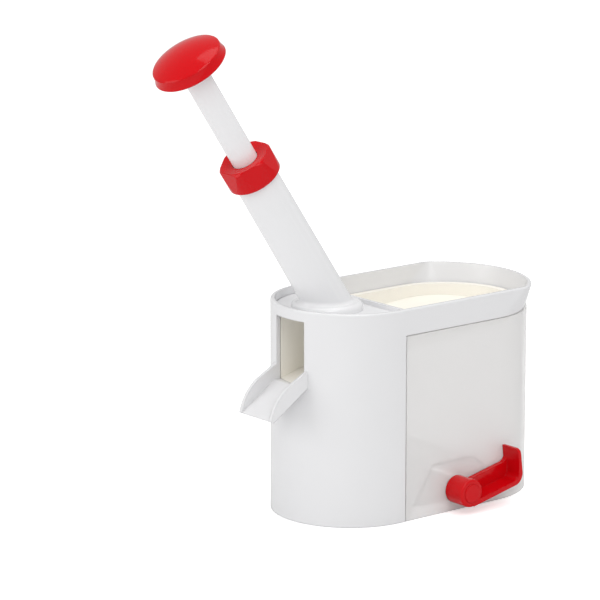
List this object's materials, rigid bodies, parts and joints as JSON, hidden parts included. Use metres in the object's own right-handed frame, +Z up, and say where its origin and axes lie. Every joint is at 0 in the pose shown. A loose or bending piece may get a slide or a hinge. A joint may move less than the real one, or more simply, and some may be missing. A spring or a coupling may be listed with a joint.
{
  "type": "cherry pitter with lever",
  "caption": "Countertop cherry pitter: upright body with hopper and rounded nose, leaning sprung plunger, scoop chute, pull-off pit container and a suction foot worked by a lever.",
  "frame": {"origin": "centre of the suction cup's underside, on the table", "axes": "+Z up, -Y towards the nose, scoop and plunger, +X the side of the lever; the part's plane of symmetry, apart from the suction foot's works, is X = 0"},
  "size_m": [0.1011, 0.2422, 0.2706],
  "materials": {
    "white_plastic": "glossy",
    "red_plastic": "glossy",
    "translucent_plastic": "milky, satin",
    "inner_plastic": "satin",
    "rubber": "satin",
    "steel": "brushed"
  },
  "bodies": {
    "base": {"container": "translucent_plastic", "suction_mount": "inner_plastic", "mount_screws": "steel", "suction_cup": "rubber"},
    "upper": {"housing": "white_plastic", "plunger_guide": "white_plastic", "hopper_tray": "inner_plastic", "cherry_duct": "inner_plastic", "cherry_seat": "rubber", "seat_retainer": "inner_plastic", "stripper_bush": "inner_plastic", "spring_washer": "steel", "cap_bush": "inner_plastic", "plunger_spring": "steel"},
    "plunger": {"plunger_stem": "white_plastic", "knob": "red_plastic", "needle": "steel", "needle_holder": "inner_plastic"},
    "cap": {"screw_cap": "red_plastic"},
    "lever_arm": {"lever": "red_plastic", "hub_plug": "red_plastic", "lever_shaft": "inner_plastic", "shaft_clip": "steel"},
    "stud": {"cup_stud": "inner_plastic"}
  },
  "joints": [
    {"name": "housing_lift", "type": "slide", "parent": "base", "child": "upper", "axis": [0, 0, 1], "range_m": [0, 0.12]},
    {"name": "plunger_press", "type": "slide", "parent": "upper", "child": "plunger", "axis": [0, 0.5548, -0.832], "range_m": [0, 0.05], "stiffness_N_per_m": 250, "springref_m": -0.012, "deforming": ["plunger_spring"]},
    {"name": "cap_turn", "type": "hinge", "parent": "upper", "child": "cap", "pos_m": [0, -0.10524, 0.19213], "axis": [0, -0.5548, 0.832], "range_deg": [0, 60]},
    {"name": "lever_turn", "type": "hinge", "parent": "base", "child": "lever_arm", "pos_m": [0, 0, 0.0122], "axis": [1, 0, 0], "range_deg": [0, 90]},
    {"name": "cup_pull", "type": "slide", "parent": "base", "child": "stud", "axis": [0, 0, 1], "range_m": [0, 0.0017], "deforming": ["suction_cup"]}
  ],
  "couplings": [
    {"joint": "cup_pull", "follows": "lever_turn", "m_per_rad": 0.00108}
  ]
}
